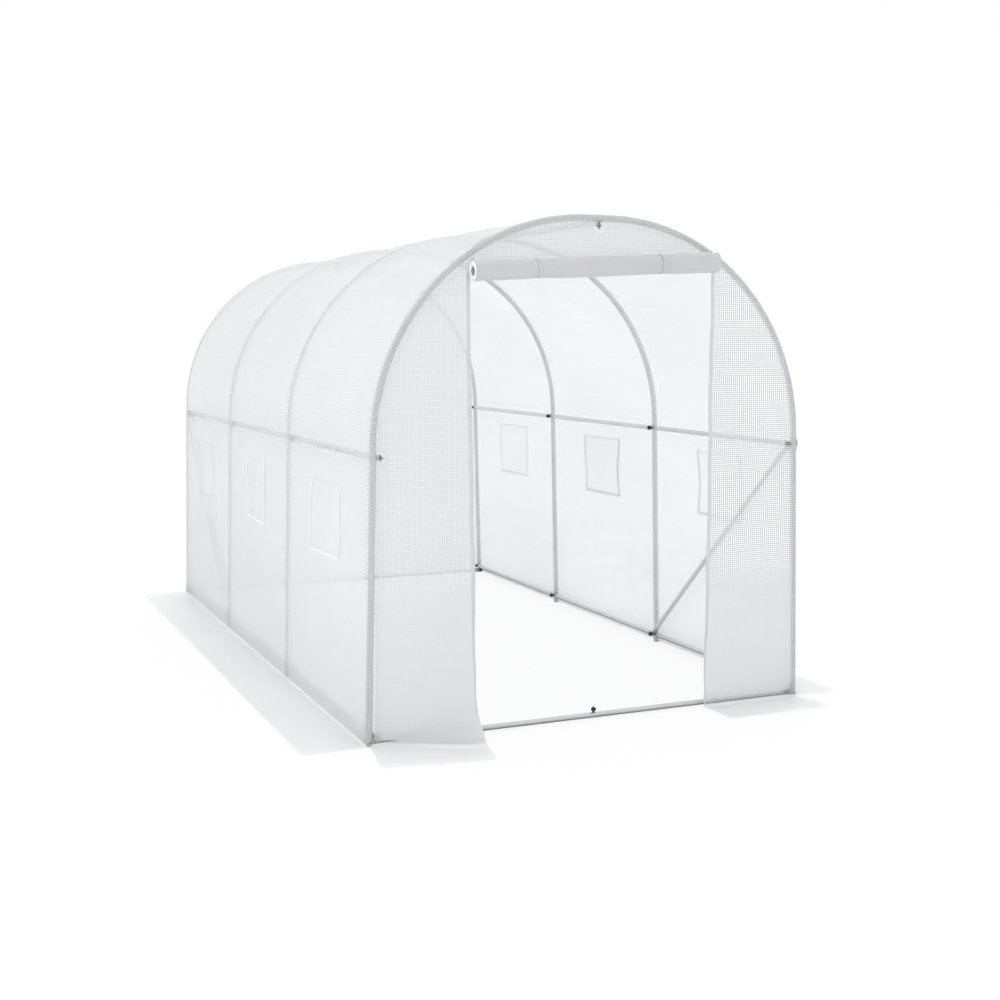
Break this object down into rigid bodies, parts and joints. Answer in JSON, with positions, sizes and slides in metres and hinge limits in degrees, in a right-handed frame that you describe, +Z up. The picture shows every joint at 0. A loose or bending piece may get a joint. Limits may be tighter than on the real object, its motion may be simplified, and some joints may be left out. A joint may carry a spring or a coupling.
{
  "type": "polytunnel greenhouse",
  "caption": "Walk-in garden polytunnel: bolted steel tube hoops and rails under a translucent film cover with a rolled-up door, flap windows and ground skirts.",
  "frame": {"origin": "middle of the ground that the tunnel and its skirts cover, on the ground", "axes": "+Y along the tunnel from the door end to the rear end, +Z up, +X to the right seen from the door"},
  "size_m": [2.3956, 4.1056, 2.0023],
  "materials": {
    "tube": "satin",
    "knob": "matte",
    "film": "satin",
    "screen": "matte",
    "trim": "matte"
  },
  "bodies": {
    "root": {"front_hoop_legs": "tube", "second_hoop_legs": "tube", "third_hoop_legs": "tube", "rear_hoop_legs": "tube", "front_hoop_left_arch": "tube", "front_hoop_right_arch": "tube", "second_hoop_left_arch": "tube", "second_hoop_right_arch": "tube", "third_hoop_left_arch": "tube", "third_hoop_right_arch": "tube", "rear_hoop_left_arch": "tube", "rear_hoop_right_arch": "tube", "left_side_rails": "tube", "right_side_rails": "tube", "ridge_rails": "tube", "left_ground_rails": "tube", "right_ground_rails": "tube", "front_ground_rails": "tube", "rear_ground_rails": "tube", "left_brace": "tube", "right_brace": "tube", "hand_knobs": "knob", "left_wall": "film", "right_wall": "film", "left_roof": "film", "crown_roof": "film", "right_roof": "film", "front_left_panel": "film", "front_right_panel": "film", "front_header": "film", "rear_panel": "film", "left_skirt": "film", "right_skirt": "film", "front_left_skirt": "film", "front_right_skirt": "film", "rear_skirt": "film", "left_window_flaps": "film", "right_window_flaps": "film", "rolled_door": "film", "left_window_screens": "screen", "right_window_screens": "screen", "left_door_zip": "trim", "right_door_zip": "trim", "door_straps": "trim"}
  },
  "joints": []
}
